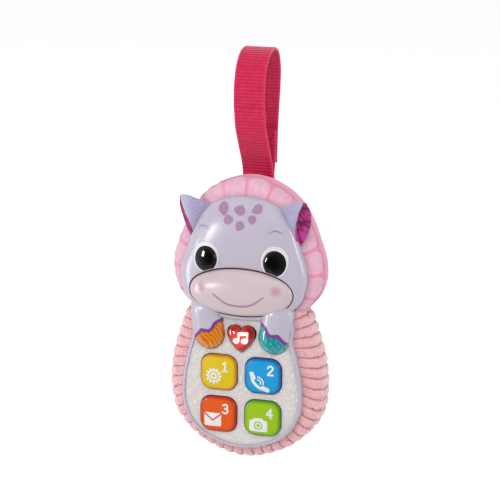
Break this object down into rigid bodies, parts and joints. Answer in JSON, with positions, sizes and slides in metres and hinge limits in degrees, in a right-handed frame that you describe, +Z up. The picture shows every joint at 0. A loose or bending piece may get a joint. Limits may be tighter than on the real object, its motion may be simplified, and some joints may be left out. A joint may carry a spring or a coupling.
{
  "type": "toy cell phone",
  "caption": "Plump animal-faced toddler phone with lit heart button, square keys, press muzzle, padded hood, ribbed plush sleeve and a webbing hanging loop.",
  "frame": {"origin": "inside the crest of the webbing loop, on the line where a bar or hook carries it", "axes": "+Z up along the phone as it hangs, +X to the right seen from the face, +Y from the face to the battery door"},
  "size_m": [0.1012, 0.0666, 0.2555],
  "materials": {
    "lilac_shell": "gloss",
    "printed_panel": "gloss, printed",
    "ribbed_plush": "wide-wale plush",
    "printed_padding": "printed padded cloth",
    "white_plastic": "gloss",
    "black_gloss": "high gloss",
    "amber_plastic": "clear gloss",
    "teal_plastic": "clear gloss",
    "blush_plastic": "gloss",
    "circuit_board": "solder mask",
    "grey_rubber": "silicone",
    "black_component": "moulded",
    "cell_wrap": "plain wrap",
    "plated_steel": "plated",
    "black_foam": "foam",
    "lead_insulation": "wire insulation",
    "magenta_webbing": "ribbed webbing",
    "magenta_fastener": "hook-and-loop",
    "yellow_key": "gloss, printed",
    "blue_key": "gloss, printed",
    "orange_key": "gloss, printed",
    "green_key": "gloss, printed",
    "clear_red": "clear gloss, lit",
    "lilac_plush": "short plush",
    "magenta_satin": "satin"
  },
  "bodies": {
    "casing": {"front_shell": "lilac_shell", "rear_shell": "lilac_shell", "key_panel": "printed_panel", "plush_sleeve": "ribbed_plush", "hood": "printed_padding", "eye_ring_left": "white_plastic", "eye_ring_right": "white_plastic", "eye_left": "black_gloss", "eye_right": "black_gloss", "paw_left": "amber_plastic", "paw_right": "teal_plastic", "muzzle_guide": "white_plastic", "main_board": "circuit_board", "keypad_mat": "grey_rubber", "board_chips": "black_component", "heart_led": "white_plastic", "muzzle_switch": "black_component", "cell_1": "cell_wrap", "cell_2": "cell_wrap", "battery_springs": "plated_steel", "battery_contacts": "plated_steel", "speaker": "plated_steel", "speaker_gasket": "black_foam", "slide_switch": "plated_steel", "shell_screws": "plated_steel", "board_screws": "plated_steel", "guide_screws": "plated_steel", "speaker_leads": "lead_insulation", "strap_base": "magenta_webbing"},
    "key_1": {"key_1": "yellow_key"},
    "key_2": {"key_2": "blue_key"},
    "key_3": {"key_3": "orange_key"},
    "key_4": {"key_4": "green_key"},
    "heart_button": {"heart_button": "clear_red"},
    "muzzle": {"muzzle": "blush_plastic"},
    "switch_knob": {"switch_knob": "white_plastic"},
    "battery_door": {"battery_door": "lilac_shell"},
    "door_screw": {"door_screw": "plated_steel"},
    "ear_left": {"ear_left": "lilac_plush", "ear_lining_left": "magenta_satin"},
    "ear_right": {"ear_right": "lilac_plush", "ear_lining_right": "magenta_satin"},
    "strap": {"strap_front": "magenta_webbing", "strap_tab": "magenta_webbing", "hook_patch": "magenta_fastener"},
    "strap_flap": {"strap_flap": "magenta_webbing", "loop_patch": "magenta_fastener"}
  },
  "joints": [
    {"name": "key_1_press", "type": "slide", "parent": "casing", "child": "key_1", "axis": [0, 1, 0], "range_m": [0, 0.0014], "stiffness_N_per_m": 400},
    {"name": "key_2_press", "type": "slide", "parent": "casing", "child": "key_2", "axis": [0, 1, 0], "range_m": [0, 0.0014], "stiffness_N_per_m": 400},
    {"name": "key_3_press", "type": "slide", "parent": "casing", "child": "key_3", "axis": [0, 1, 0], "range_m": [0, 0.0014], "stiffness_N_per_m": 400},
    {"name": "key_4_press", "type": "slide", "parent": "casing", "child": "key_4", "axis": [0, 1, 0], "range_m": [0, 0.0014], "stiffness_N_per_m": 400},
    {"name": "heart_press", "type": "slide", "parent": "casing", "child": "heart_button", "axis": [0, 1, 0], "range_m": [0, 0.0014], "stiffness_N_per_m": 400},
    {"name": "muzzle_press", "type": "slide", "parent": "casing", "child": "muzzle", "axis": [0, 1, 0], "range_m": [0, 0.0012], "stiffness_N_per_m": 500},
    {"name": "power_slide", "type": "slide", "parent": "casing", "child": "switch_knob", "axis": [1, 0, 0], "range_m": [0, 0.005]},
    {"name": "battery_door_tilt", "type": "hinge", "parent": "casing", "child": "battery_door", "pos_m": [0, -0.00815, -0.2368], "axis": [-1, 0, 0], "range_deg": [0, 75]},
    {"name": "door_screw_turn", "type": "hinge", "parent": "battery_door", "child": "door_screw", "pos_m": [0, -0.008, -0.1837], "axis": [0, 1, 0], "continuous": true},
    {"name": "ear_left_flap", "type": "hinge", "parent": "casing", "child": "ear_left", "pos_m": [-0.0315, -0.0384, -0.1006], "axis": [0.5, 0, 0.866], "range_deg": [0, 22], "stiffness_Nm_per_rad": 0.02},
    {"name": "ear_right_flap", "type": "hinge", "parent": "casing", "child": "ear_right", "pos_m": [0.0315, -0.0384, -0.1006], "axis": [0.5, 0, -0.866], "range_deg": [0, 22], "stiffness_Nm_per_rad": 0.02},
    {"name": "strap_swing", "type": "hinge", "parent": "casing", "child": "strap", "pos_m": [0, -0.0043, -0.0776], "axis": [-1, 0, 0], "range_deg": [-25, 60], "stiffness_Nm_per_rad": 0.05},
    {"name": "strap_open", "type": "hinge", "parent": "strap", "child": "strap_flap", "pos_m": [0, 0.0159, -0.0066], "axis": [-1, 0, 0], "range_deg": [-70, 0], "stiffness_Nm_per_rad": 0.02}
  ]
}
